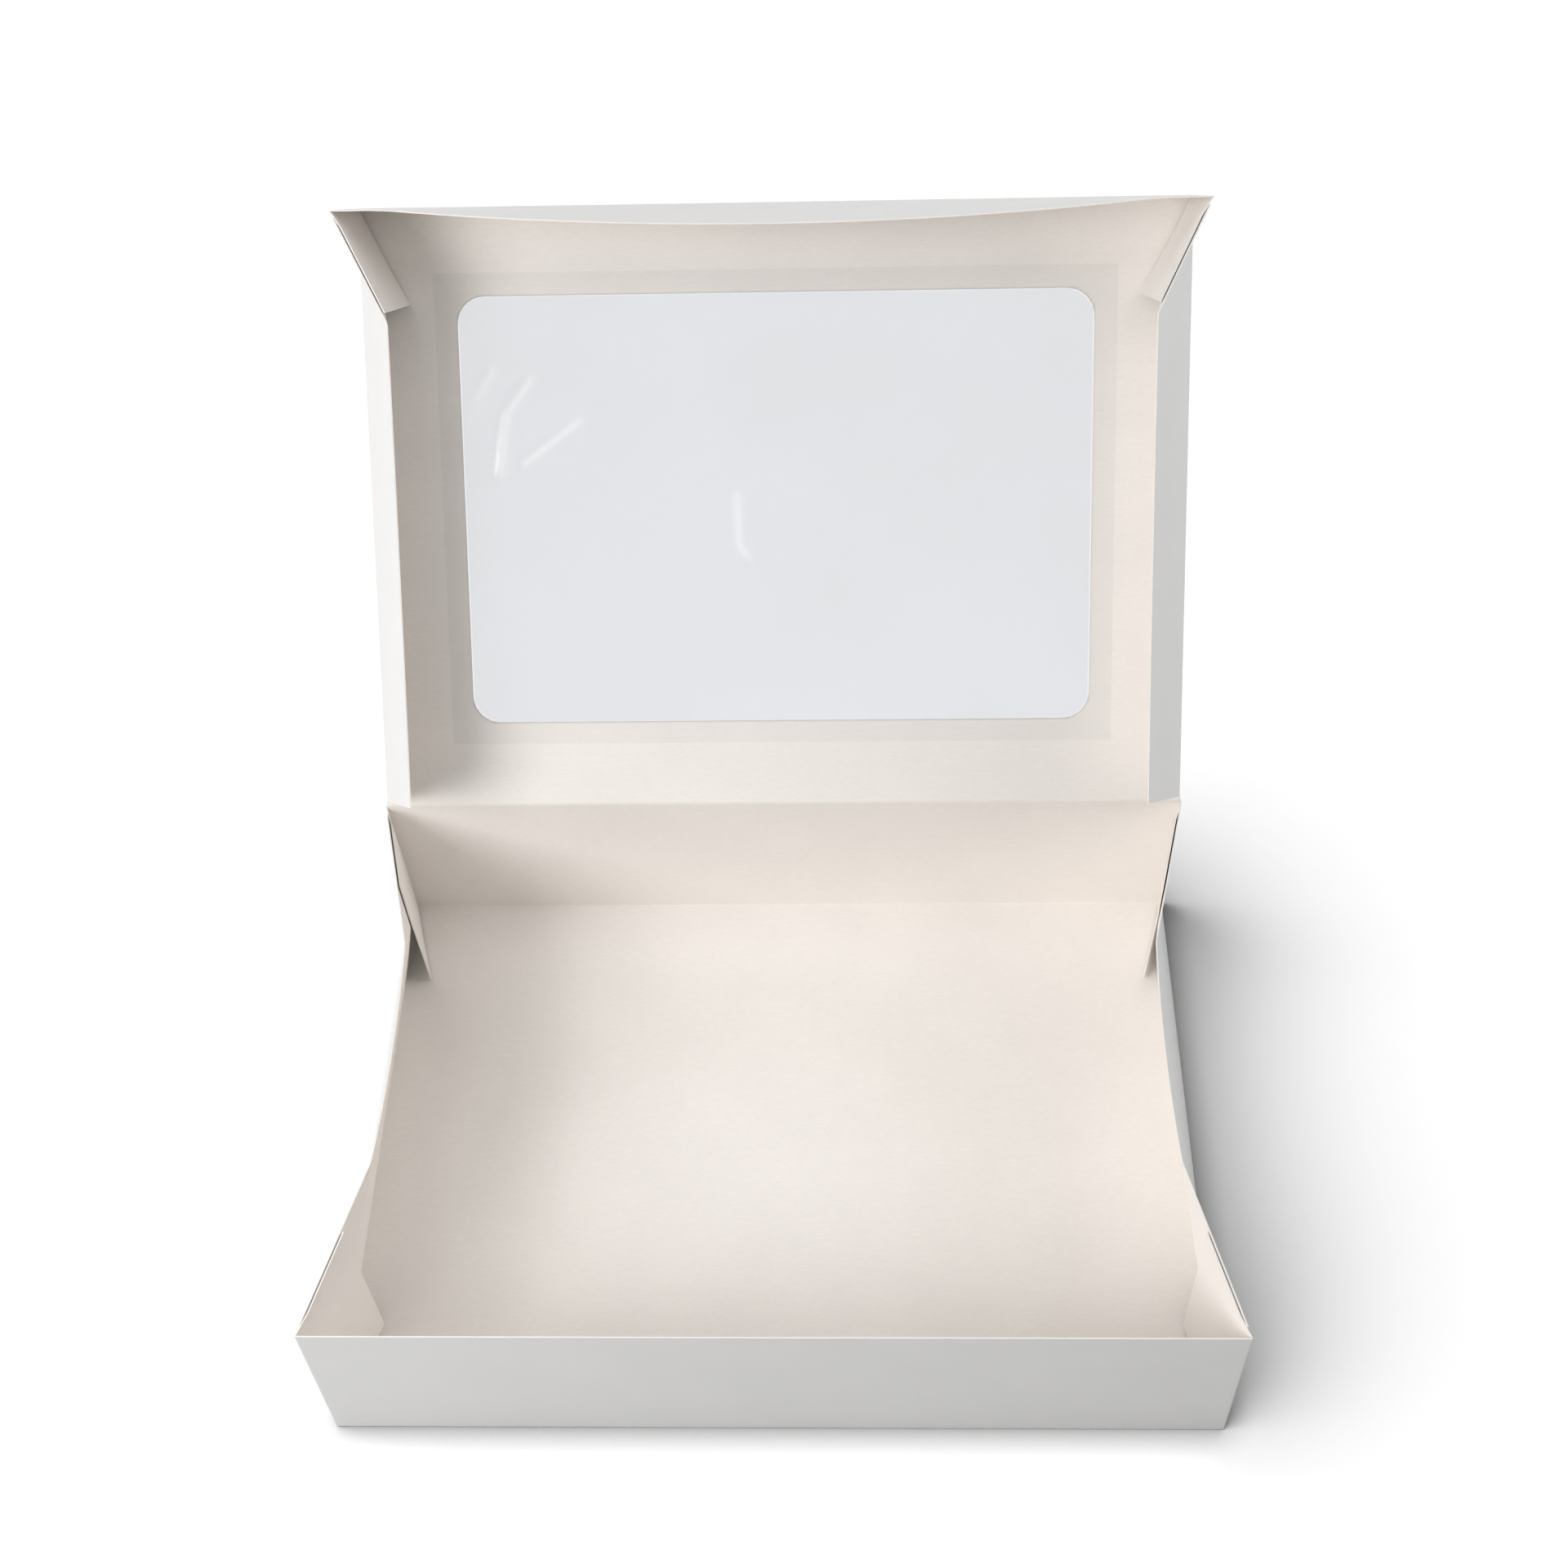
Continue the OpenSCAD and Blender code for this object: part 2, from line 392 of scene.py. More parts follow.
def side_wall(corner, length, bow, heights, line, hold, cut, free=None):
    """Outer side of a side wall in its corner's frame: an end triangle, the panel between
    the diagonal creases, and the same triangle again or a free slanted end."""
    grid = []
    for v in heights:
        k = v / corner.height
        near = corner.run * k
        far = length - (free[0] + free[1] * k if free else near)
        gap = edge_gap(cut, k, near)
        edge = [gap, (gap + near - hold) / 2, near - hold, near - 0.7 * hold, near - 0.35 * hold]
        triangle = [corner.up * v + corner.along * max(t, gap) for t in edge]
        row = list(triangle)
        for y in spread(line, near, far, hold, 0 if free else hold):
            s = (y - near) / (far - near)
            lean_in = v * sin(corner.lean) + bow * k * 4 * s * (1 - s)
            row.append(np.array([lean_in, y, v * cos(corner.lean)]))
        if not free:
            row += [np.array([p[0], length - p[1], p[2]]) for p in reversed(triangle)]
        grid.append(row)
    return np.array(grid)


def end_wall(corner, width, heights, line, bow=0.0, stiff=0.0):
    """Outer side of a front or back wall. Its rim bows in between the stiff corners."""
    grid = []
    for v in heights:
        k = v / corner.height
        row = []
        for x in line:
            s = min(max((x / width - stiff) / (1 - 2 * stiff), 0), 1)
            row.append(corner.up * v + np.array([x, bow * k * 4 * s * (1 - s), 0]))
        grid.append(row)
    return np.array(grid)


def corner_tab(corner, length, heights, hold, layer, cut, seam, spring):
    """Outer side of a tab. It folds in from an end wall, tucks in under the free edge of the
    side wall's triangle and is glued there. Its lower edge is cut level with the panel, it
    gapes a little at the rim, and its lower free corner springs off."""
    level = corner.inward - corner.up * (corner.inward[2] / corner.up[2])
    drop = -corner.along[2] / corner.up[2] / (heights[-1] - heights[0])
    columns = [0, 0.35 * hold, 0.7 * hold, *np.linspace(hold, cut + 6 * MM, 8)]
    columns += list(np.linspace(cut + 6 * MM, length, 7))[1:]
    grid = []
    for v in heights:
        k = v / corner.height
        gap = edge_gap(cut, k, corner.run)
        row = []
        for t in columns:
            depth = layer * smooth(t / max(gap, 3 * MM))
            depth += seam * smooth((k - 0.6) / 0.4) * smooth((t - gap) / (5 * MM))
            off = level * spring * (1 - k) * (t / length) ** 2
            up = corner.up * (v + drop * t * (heights[-1] - v))
            row.append(up + corner.along * t + corner.inward * depth + off)
        grid.append(row)
    return np.array(grid)


def rounded_loop(half_x, half_y, radius, counts, arc=5):
    """Points round a rectangle with rounded corners, anticlockwise from its lower left.
    counts gives how many steps each side takes, with arc steps on each of its half corners."""
    loop = []
    turns = (
        (half_x, half_y, lambda a, b: (a, b)),
        (half_y, half_x, lambda a, b: (-b, a)),
        (half_x, half_y, lambda a, b: (-a, -b)),
        (half_y, half_x, lambda a, b: (b, -a)),
    )
    for steps, (half, out, turn) in zip(counts, turns):
        flat = half - radius
        for k in range(steps):
            from_end = steps - k
            if k < arc or from_end < arc:
                side = -1 if k < arc else 1
                angle = (pi / 4) * (1 - min(k, from_end) / arc)
                a, b = side * (flat + radius * sin(angle)), radius * (1 - cos(angle))
            else:
                a, b = flat * (2 * (k - arc) / (steps - 2 * arc) - 1), 0
            loop.append(turn(a, b - out))
    return loop


def add_node(tree, kind, settings=None, **inputs):
    """Adds a node with its settings, and sets or links its inputs. An input is named by its
    label with _ for each space, or by _ and its number."""
    node = tree.nodes.new(kind)
    for name, value in (settings or {}).items():
        setattr(node, name, value)
    for name, value in inputs.items():
        number = name[1:]
        socket = node.inputs[int(number) if number.isdigit() else name.replace("_", " ")]
        if isinstance(value, bpy.types.NodeSocket):
            tree.links.new(value, socket)
        else:
            socket.default_value = value
    return node


def new_material(name):
    """An empty node material and its tree."""
    material = bpy.data.materials.new(name)
    material.use_nodes = True
    material.node_tree.nodes.clear()
    return material, material.node_tree


def blotched(tree, place, colour, size, amount):
    """A colour that drifts lighter and darker by amount over blotches of a real size."""
    noise = add_node(tree, "ShaderNodeTexNoise", Vector=place, Scale=1 / size, Detail=3.0)
    level = add_node(
        tree, "ShaderNodeMapRange", Value=noise.outputs["Fac"], From_Min=0.3, From_Max=0.7,
        To_Min=1 - amount, To_Max=1 + amount,
    )
    return add_node(
        tree, "ShaderNodeVectorMath", {"operation": "SCALE"}, _0=colour, Scale=level.outputs[0]
    ).outputs[0]


def coated_side(board):
    """Clay-coated boxboard, calendered smooth. The eye gets a cool even white with a faint
    satin sheen and a very fine ripple."""
    material, tree = new_material("clay_coated_boxboard")
    place = add_node(tree, "ShaderNodeTexCoord").outputs["Object"]
    colour = blotched(tree, place, board.outside, 22 * MM, 0.012)
    ripple = add_node(tree, "ShaderNodeTexNoise", Vector=place, Scale=1 / (1.4 * MM), Detail=2.0)
    bump = add_node(
        tree, "ShaderNodeBump", Strength=0.25, Distance=0.02 * MM, Height=ripple.outputs["Fac"]
    )
    surface = add_node(
        tree, "ShaderNodeBsdfPrincipled", Base_Color=colour, Roughness=0.46, IOR=1.5,
        Normal=bump.outputs[0],
    )
    add_node(tree, "ShaderNodeOutputMaterial", Surface=surface.outputs[0])
    return material


def uncoated_side(board):
    """Bleached pulp, uncoated and matt. The eye gets a warm off-white with short fibres that
    lie along the board's grain, and slow drifts in tone."""
    material, tree = new_material("uncoated_boxboard")
    place = add_node(tree, "ShaderNodeTexCoord").outputs["Object"]
    grain = add_node(tree, "ShaderNodeMapping", Vector=place, Scale=(0.25, 1.0, 1.0)).outputs[0]
    drift = blotched(tree, place, board.inside, 35 * MM, 0.015)
    colour = blotched(tree, grain, drift, 0.7 * MM, 0.02)
    fibres = add_node(tree, "ShaderNodeTexNoise", Vector=grain, Scale=1 / (0.45 * MM), Detail=4.0)
    bump = add_node(
        tree, "ShaderNodeBump", Strength=0.4, Distance=0.03 * MM, Height=fibres.outputs["Fac"]
    )
    rough = add_node(
        tree, "ShaderNodeMapRange", Value=fibres.outputs["Fac"], To_Min=0.78, To_Max=0.95
    )
    surface = add_node(
        tree, "ShaderNodeBsdfPrincipled", Base_Color=colour, Roughness=rough.outputs[0], IOR=1.45,
        Normal=bump.outputs[0],
    )
    add_node(tree, "ShaderNodeOutputMaterial", Surface=surface.outputs[0])
    return material


def cut_edge(board):
    """The die-cut edge of the board. The eye gets a thin pale line of torn fibre round every
    rim, a little lighter than the sides."""
    material, tree = new_material("cut_boxboard_edge")
    place = add_node(tree, "ShaderNodeTexCoord").outputs["Object"]
    colour = blotched(tree, place, board.edge, 0.5 * MM, 0.03)
    surface = add_node(tree, "ShaderNodeBsdfPrincipled", Base_Color=colour, Roughness=0.95)
    add_node(tree, "ShaderNodeOutputMaterial", Surface=surface.outputs[0])
    return material


def clear_film(window):
    """Polyester window film, cast and stretched. The eye gets a clear sheet with a cool haze
    where it hangs free, partly the film's own haze and partly painted shade that stands in for
    the shaded ground seen through it, almost nothing where glue wets it, and a gloss that
    picks out its ripples and crinkles, with a painted highlight that turns the film white
    along each crinkle's crest."""
    material, tree = new_material("clear_polyester_film")
    free = add_node(tree, "ShaderNodeAttribute", {"attribute_name": "free"}).outputs["Fac"]
    # Partly the film's own haze, partly painted shade that darkens the window as the shaded ground
    # behind it would
    cover = add_node(
        tree, "ShaderNodeMapRange", Value=free, To_Min=window.glued, To_Max=window.haze
    )
    place = add_node(tree, "ShaderNodeTexCoord").outputs["Object"]
    # Painted highlight: the body colour turns towards white along each crinkle's crest
    crest_highlight = add_node(tree, "ShaderNodeAttribute", {"attribute_name": "crest_highlight"}).outputs["Fac"]
    white = add_node(tree, "ShaderNodeMapRange", Value=crest_highlight, To_Max=window.crinkle_highlight)
    body = add_node(
        tree, "ShaderNodeMix", {"data_type": "RGBA"}, _0=white.outputs[0],
        _6=blotched(tree, place, window.tint, 60 * MM, 0.25), _7=(1, 1, 1, 1),
    )
    surface = add_node(
        tree, "ShaderNodeBsdfPrincipled", Base_Color=body.outputs[2], Roughness=0.14, IOR=1.58,
        Specular_IOR_Level=1.0, Alpha=cover.outputs[0],
    )
    add_node(tree, "ShaderNodeOutputMaterial", Surface=surface.outputs[0])
    return material


def film_tree(window, material):
    """Geometry nodes that lay the film: flat on its glued lap, and with soft ripples and a
    few sharp crinkles where it spans the window. The attribute free is 1 there, and the crest
    attribute is 1 on a crinkle's crest, where the film's material paints a highlight."""
    tree = bpy.data.node_groups.new("lay_film", "GeometryNodeTree")
    sockets = {}
    for name in ("Width", "Length", "Lap", "Radius", "Ripple", "Crinkle"):
        socket = tree.interface.new_socket(name, in_out="INPUT", socket_type="NodeSocketFloat")
        sockets[name] = socket.identifier
    tree.interface.new_socket("Geometry", in_out="OUTPUT", socket_type="NodeSocketGeometry")
    given = add_node(tree, "NodeGroupInput").outputs

    def math(operation, *values, clamp=False):
        named = {f"_{k}": value for k, value in enumerate(values)}
        settings = {"operation": operation, "use_clamp": clamp}
        return add_node(tree, "ShaderNodeMath", settings, **named).outputs[0]

    sheet = add_node(
        tree, "GeometryNodeMeshGrid", Size_X=given["Width"], Size_Y=given["Length"],
        Vertices_X=FILM_COLUMNS, Vertices_Y=FILM_ROWS,
    )
    place = add_node(tree, "GeometryNodeInputPosition").outputs[0]
    axes = add_node(tree, "ShaderNodeSeparateXYZ", Vector=place).outputs
    inside = [
        math("SUBTRACT", math("MULTIPLY", given[size], 0.5), math("ABSOLUTE", axes[k]))
        for k, size in enumerate(("Width", "Length"))
    ]
    past = [math("SUBTRACT", math("ADD", given["Lap"], given["Radius"]), edge) for edge in inside]
    round_off = [math("POWER", math("MAXIMUM", side, 0.0), 2.0) for side in past]
    beyond = math("SQRT", math("ADD", *round_off))
    within = math("MINIMUM", math("MAXIMUM", *past), 0.0)
    from_lap = math("SUBTRACT", given["Radius"], math("ADD", beyond, within))
    free = add_node(
        tree, "ShaderNodeMapRange", {"interpolation_type": "SMOOTHSTEP"}, Value=from_lap,
        From_Min=-0.5 * MM, From_Max=0.5 * MM,
    ).outputs[0]
    slack = add_node(
        tree, "ShaderNodeMapRange", {"interpolation_type": "SMOOTHSTEP"}, Value=from_lap,
        From_Min=0.0, From_Max=14 * MM,
    ).outputs[0]
    drift = add_node(tree, "ShaderNodeTexNoise", Vector=place, Scale=1 / (55 * MM), Detail=1.0)
    ripple = math("MULTIPLY", math("SUBTRACT", drift.outputs["Fac"], 0.5), given["Ripple"])
    lines = add_node(tree, "GeometryNodeJoinGeometry")
    for letter in "abcdef":
        ends = getattr(window, "crinkle_" + letter)
        line = add_node(
            tree, "GeometryNodeMeshLine", {"mode": "END_POINTS"}, Count=2,
            Start_Location=(ends[0], ends[1], 0), _3=(ends[2], ends[3], 0),
        )
        tree.links.new(line.outputs[0], lines.inputs[0])
    near = add_node(
        tree, "GeometryNodeProximity", {"target_element": "EDGES"}, _0=lines.outputs[0]
    )
    tents = [
        math("SUBTRACT", 1.0, math("DIVIDE", near.outputs["Distance"], reach), clamp=True)
        for reach in (5 * MM, 2.6 * MM)
    ]
    crest = math("MULTIPLY", math("MULTIPLY", tents[0], tents[0]), given["Crinkle"])
    height = math("MULTIPLY", math("ADD", ripple, crest), slack)
    offset = add_node(tree, "ShaderNodeCombineXYZ", Z=height)
    moved_sheet = add_node(
        tree, "GeometryNodeSetPosition", Geometry=sheet.outputs[0], Offset=offset.outputs[0]
    )
    kept = moved_sheet
    # The crest attribute marks where the film's material paints a highlight
    for name, value in (("free", free), ("crest_highlight", math("MULTIPLY", tents[1], slack))):
        kept = add_node(
            tree, "GeometryNodeStoreNamedAttribute", {"data_type": "FLOAT", "domain": "POINT"},
            Geometry=kept.outputs[0], Name=name, Value=value,
        )
    real = add_node(tree, "GeometryNodeRealizeInstances", Geometry=kept.outputs[0])
    clad = add_node(
        tree, "GeometryNodeSetMaterial", Geometry=real.outputs[0], Material=material
    )
    add_node(tree, "NodeGroupOutput", Geometry=clad.outputs[0])
    return tree, sockets


def new_object(name, mesh):
    made = bpy.data.objects.new(name, mesh)
    bpy.context.scene.collection.objects.link(made)
    return made


def settle(made):
    """Applies an object's modifiers, and marks the edges of its cut rims as sharp."""
    bpy.context.view_layer.update()
    graph = bpy.context.evaluated_depsgraph_get()
    mesh = bpy.data.meshes.new_from_object(made.evaluated_get(graph))
    made.modifiers.clear()
    made.data = mesh
    mesh.shade_smooth()
    mesh.set_sharp_from_angle(angle=radians(50))


# The materials made so far, by the name of the function that makes them
FINISHES = {}


def finish_of(maker, settings):
    """The material that maker makes, made once."""
    if maker.__name__ not in FINISHES:
        FINISHES[maker.__name__] = maker(settings)
    return FINISHES[maker.__name__]


def board_sheet(name, skin, board, marker, offset=-1):
    """One folded sheet of board as a closed mesh, from its skin. marker is a point and the
    way that the skin faces there."""
    work = bmesh.new()
    points = [work.verts.new(p) for p in skin.softened(board.crease)]
    for corners in skin.faces:
        work.faces.new([points[c] for c in corners])
    bmesh.ops.remove_doubles(work, verts=work.verts, dist=MERGE)
    bmesh.ops.dissolve_degenerate(work, edges=work.edges, dist=MERGE)
    bmesh.ops.recalc_face_normals(work, faces=work.faces)
    place, facing = Vector(marker[0]), Vector(marker[1])
    nearest = min(work.faces, key=lambda f: (f.calc_center_median() - place).length)
    if nearest.normal.dot(facing) < 0:
        bmesh.ops.reverse_faces(work, faces=work.faces)
    mesh = bpy.data.meshes.new(name)
    work.to_mesh(mesh)
    work.free()
    for material in (coated_side, uncoated_side, cut_edge):
        mesh.materials.append(finish_of(material, board))
    made = new_object(name, mesh)
    shell = made.modifiers.new("Board", "SOLIDIFY")
    shell.thickness = board.thickness
    shell.offset = offset
    shell.use_even_offset = True
    shell.material_offset = 1
    shell.material_offset_rim = 2
    settle(made)
    return made


def lid_place(lid, board):
    """Carries the lid from lying on its outer face, hinge line along x, to its open place."""
    return (
        Matrix.Translation(HINGE)
        @ Matrix.Rotation(pi - lid.opening, 4, "X")
        @ Matrix.Translation((0, 0, -board.thickness / 2))
    )


def moved(points, matrix):
    """An array of points carried by a 4 x 4 matrix."""
    m = np.array(matrix)
    return points @ m[:3, :3].T + m[:3, 3]


class CUPCAKEBOX_OT_tray(bpy.types.Operator):
    """Fold the tray: floor, front and back walls, tucked side walls and glued tabs"""

    bl_idname = "cupcake_box.tray"
    bl_label = "Fold tray"

    def execute(self, context):
        board, size = context.scene.cupcake_box.board, context.scene.cupcake_box.tray
        corner = Corner(size.lean, size.run, size.height)
        width, depth = TRAY_WIDTH, TRAY_DEPTH
        hold = HOLD * board.crease
        layer = board.thickness + AIR
        foot, top = 1.5 * MM, size.height - 0.2 * MM
        heights = wall_heights(size.height, hold, foot, top)
        hinge_top = size.height - board.thickness / 2 - 1.5 * MM
        line_x = stations(width, hold, 7 * MM)
        line_y = stations(depth, hold, 7 * MM)

        def placed(grid, x_side, y_side):
            middle = np.array([width / 2, depth / 2, 0])
            return (grid - middle) * (x_side, y_side, 1)

        skin = Skin()
        floor = np.array([[(x, y, 0) for x in line_x] for y in line_y])
        skin.add(placed(floor, 1, 1))
        for y_side in (1, -1):
            rows = heights if y_side == 1 else np.append(heights[:-2], hinge_top)
            wall = end_wall(corner, width, rows, line_x)
            skin.add(placed(wall, 1, y_side))
            tab_rows = rows[3:-1] if y_side == 1 else rows[3:]
            ends = placed(np.array([[0, 0, 0], [width, 0, 0]]), 1, y_side)
            skin.crease(*ends, (0, y_side, 0), corner.up * (1, y_side, 1))
            for x_side in (1, -1):
                spring = size.spring[(0 if y_side == 1 else 2) + (0 if x_side == 1 else 1)]
                tab = corner_tab(
                    corner, size.tab, tab_rows, hold, layer, size.cut, size.seam, spring
                )
                skin.add(placed(tab, x_side, y_side))
                ends = placed(np.array([np.zeros(3), corner.up * size.height]), x_side, y_side)
                flip = (x_side, y_side, 1)
                skin.crease(*ends, (x_side, 0, 0), corner.along * flip)
                ends = placed(np.array([np.zeros(3), corner.diagonal]), x_side, y_side)
                skin.crease(*ends, (0, y_side, 0), -corner.along * flip)
        for x_side in (1, -1):
            wall = side_wall(corner, depth, size.bow, heights, line_y, hold, size.cut)
            skin.add(placed(wall, x_side, 1))
            ends = placed(np.array([[0, 0, 0], [0, depth, 0]]), x_side, 1)
            skin.crease(*ends, (x_side, 0, 0), (x_side * sin(size.lean), 0, cos(size.lean)))
        tray = board_sheet("tray_board", skin, board, ((0, 0, 0), (0, 0, -1)))
        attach(tray, "tray")
        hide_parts("tray")
        return {"FINISHED"}


class CUPCAKEBOX_OT_lid(bpy.types.Operator):
    """Fold the lid: windowed panel, bowed front wall, tucked side walls and glued tabs"""

    bl_idname = "cupcake_box.lid"
    bl_label = "Fold lid"

    def execute(self, context):
        settings = context.scene.cupcake_box
        board, size, window = settings.board, settings.lid, settings.window
        corner = Corner(size.lean, size.run, size.height)
        width, length = LID_WIDTH, size.length
        hold = HOLD * board.crease
        layer = board.thickness + AIR
        heights = wall_heights(size.height, hold, 1.5 * MM, size.height - 0.2 * MM, rows=6)
        ring = 5 * MM
        sides = (window.side - ring, width - window.side + ring)
        ends = (window.end - ring, length - window.end + ring)
        line_x = stations(width, hold, 7 * MM, sides)
        line_y = stations(length - size.end_foot, hold, 7 * MM, ends)
        turn = lid_place(size, board)

        def placed(grid, x_side=1):
            lying = (grid - (width / 2, length, 0)) * (x_side, -1, 1)
            return moved(lying, turn)

        def heading(direction, x_side=1):
            return moved(np.array(direction) * (x_side, -1, 1), turn.to_3x3().to_4x4())

        skin = Skin()
        columns = [int(np.abs(line_x - s).argmin()) for s in sides]
        rows = [int(np.abs(line_y - e).argmin()) for e in ends]
        panel = np.array([[(x, y, 0) for x in line_x] for y in line_y])
        skin.add(placed(panel), (range(*rows), range(*columns)))
        (i0, i1), (j0, j1) = columns, rows
        around = np.concatenate([
            panel[j0, i0:i1], panel[j0:j1, i1], panel[j1, i1:i0:-1], panel[j1:j0:-1, i0],
        ])
        half_x, half_y = width / 2 - window.side, length / 2 - window.end
        counts = (i1 - i0, j1 - j0, i1 - i0, j1 - j0)
        inner = [
            (width / 2 + x, length / 2 + y, 0)
            for x, y in rounded_loop(half_x, half_y, window.radius, counts)
        ]
        loops = np.array([around, inner])
        skin.add(placed(np.concatenate([loops, loops[:, :1]], axis=1)))
        front = end_wall(corner, width, heights, line_x, size.front_bow, size.stiff)
        skin.add(placed(front))
        foot = placed(np.array([[0, 0, 0], [width, 0, 0]]))
        skin.crease(*foot, heading((0, 1, 0)), heading(corner.up))
        for x_side in (1, -1):
            free = (size.end_foot, size.end_slant)
            wall = side_wall(corner, length, size.side_bow, heights, line_y, hold, size.cut, free)
            skin.add(placed(wall, x_side))
            spring = size.spring[0 if x_side == 1 else 1]
            tab = corner_tab(
                corner, size.tab, heights[3:-1], hold, layer, size.cut, size.seam, spring
            )
            skin.add(placed(tab, x_side))
            lean = (sin(size.lean), 0, cos(size.lean))
            foot = placed(np.array([[0, 0, 0], [0, length, 0]]), x_side)
            skin.crease(*foot, heading((1, 0, 0), x_side), heading(lean, x_side))
            upright = placed(np.array([np.zeros(3), corner.up * size.height]), x_side)
            skin.crease(*upright, heading((1, 0, 0), x_side), heading(corner.along, x_side))
            slant = placed(np.array([np.zeros(3), corner.diagonal]), x_side)
            skin.crease(*slant, heading((0, 1, 0), x_side), heading(-corner.along, x_side))
        outward = moved(np.array([0, 0, -1.0]), turn.to_3x3().to_4x4())
        marker = (moved(np.array([0, window.end / 2, 0]), turn), outward)
        lid = board_sheet("lid_board", skin, board, marker)
        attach(lid, "lid")
        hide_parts("lid")
        return {"FINISHED"}


class CUPCAKEBOX_OT_hinge(bpy.types.Operator):
    """Join the back wall and the lid by the strip of board that bends at the hinge crease"""

    bl_idname = "cupcake_box.hinge"
    bl_label = "Join hinge crease"

    def execute(self, context):
        settings = context.scene.cupcake_box
        board, tray, lid = settings.board, settings.tray, settings.lid
        reach = lid.end_foot
        lean = Corner(tray.lean, tray.run, tray.height).end_lean
        down = np.array([0, sin(lean), -cos(lean)])
        away = np.array([0, -cos(lid.opening), sin(lid.opening)])
        wide = TRAY_WIDTH / 2 - board.thickness
        narrow = LID_WIDTH / 2
        rows = []
        for share in np.linspace(-1, 1, STRIP_ROWS):
            way = down if share < 0 else away
            half = wide + (narrow - wide) * smooth((share + 1) / 2)
            middle = HINGE + way * abs(share) * reach
            rows.append([middle + (x, 0, 0) for x in np.linspace(-half, half, STRIP_COLUMNS)])
        skin = Skin()
        skin.add(np.array(rows))
        skin.crease(HINGE - (wide, 0, 0), HINGE + (wide, 0, 0), down, away)
        marker = (HINGE + down * reach, (0, 1, 0))
        strip = board_sheet("hinge_crease", skin, board, marker, offset=0)
        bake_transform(strip)
        return {"FINISHED"}


class CUPCAKEBOX_OT_film(bpy.types.Operator):
    """Lay the clear film over the window, inside the lid"""

    bl_idname = "cupcake_box.film"
    bl_label = "Lay window film"

    def execute(self, context):
        settings = context.scene.cupcake_box
        lid, window, board = settings.lid, settings.window, settings.board
        given = {
            "Width": LID_WIDTH - 2 * (window.side - window.lap),
            "Length": lid.length - 2 * (window.end - window.lap),
            "Lap": window.lap,
            "Radius": window.radius,
            "Ripple": window.ripple,
            "Crinkle": window.crinkle,
        }
        material = clear_film(window)
        tree, sockets = film_tree(window, material)
        mesh = bpy.data.meshes.new("window_film_sheet")
        mesh.materials.append(material)
        made = new_object("window_film_sheet", mesh)
        layer = made.modifiers.new("Lay film", "NODES")
        layer.node_group = tree
        for name, value in given.items():
            layer[sockets[name]] = value
        shell = made.modifiers.new("Film", "SOLIDIFY")
        shell.thickness = window.film
        shell.offset = 1
        settle(made)
        rise = board.thickness + window.glue
        across = Matrix.Translation((0, lid.length / 2, rise))
        made.data.transform(lid_place(lid, board) @ across)
        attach(made, "lid")
        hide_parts("window_film")
        return {"FINISHED"}


def seen_directly(tree):
    """1 for rays that show a surface to the eye, straight or in a reflection, and else 0."""
    path = add_node(tree, "ShaderNodeLightPath")
    mirrored = add_node(
        tree, "ShaderNodeMath", {"operation": "MAXIMUM"},
        _0=path.outputs["Is Glossy Ray"], _1=path.outputs["Is Transmission Ray"],
    )
    return add_node(
        tree, "ShaderNodeMath", {"operation": "MAXIMUM"},
        _0=path.outputs["Is Camera Ray"], _1=mirrored.outputs[0],
    ).outputs[0]


def studio_floor(studio):
    """Matt white paper sweep. The eye gets a plain white ground that still takes the
    object's shadow, and a smaller share of its light goes on to the box."""
    material, tree = new_material("matt_white_sweep")
    contact = add_node(
        tree, "ShaderNodeAmbientOcclusion", {"samples": 4}, Color=(*studio.floor, 1),
        Distance=studio.contact,
    )
    seen = add_node(tree, "ShaderNodeBsdfDiffuse", Color=contact.outputs["Color"])
    bounced = add_node(tree, "ShaderNodeBsdfDiffuse", Color=(*(3 * [studio.bounce]), 1))
    surface = add_node(
        tree, "ShaderNodeMixShader", _0=seen_directly(tree), _1=bounced.outputs[0],
        _2=seen.outputs[0],
    )
    add_node(tree, "ShaderNodeOutputMaterial", Surface=surface.outputs[0])
    return material


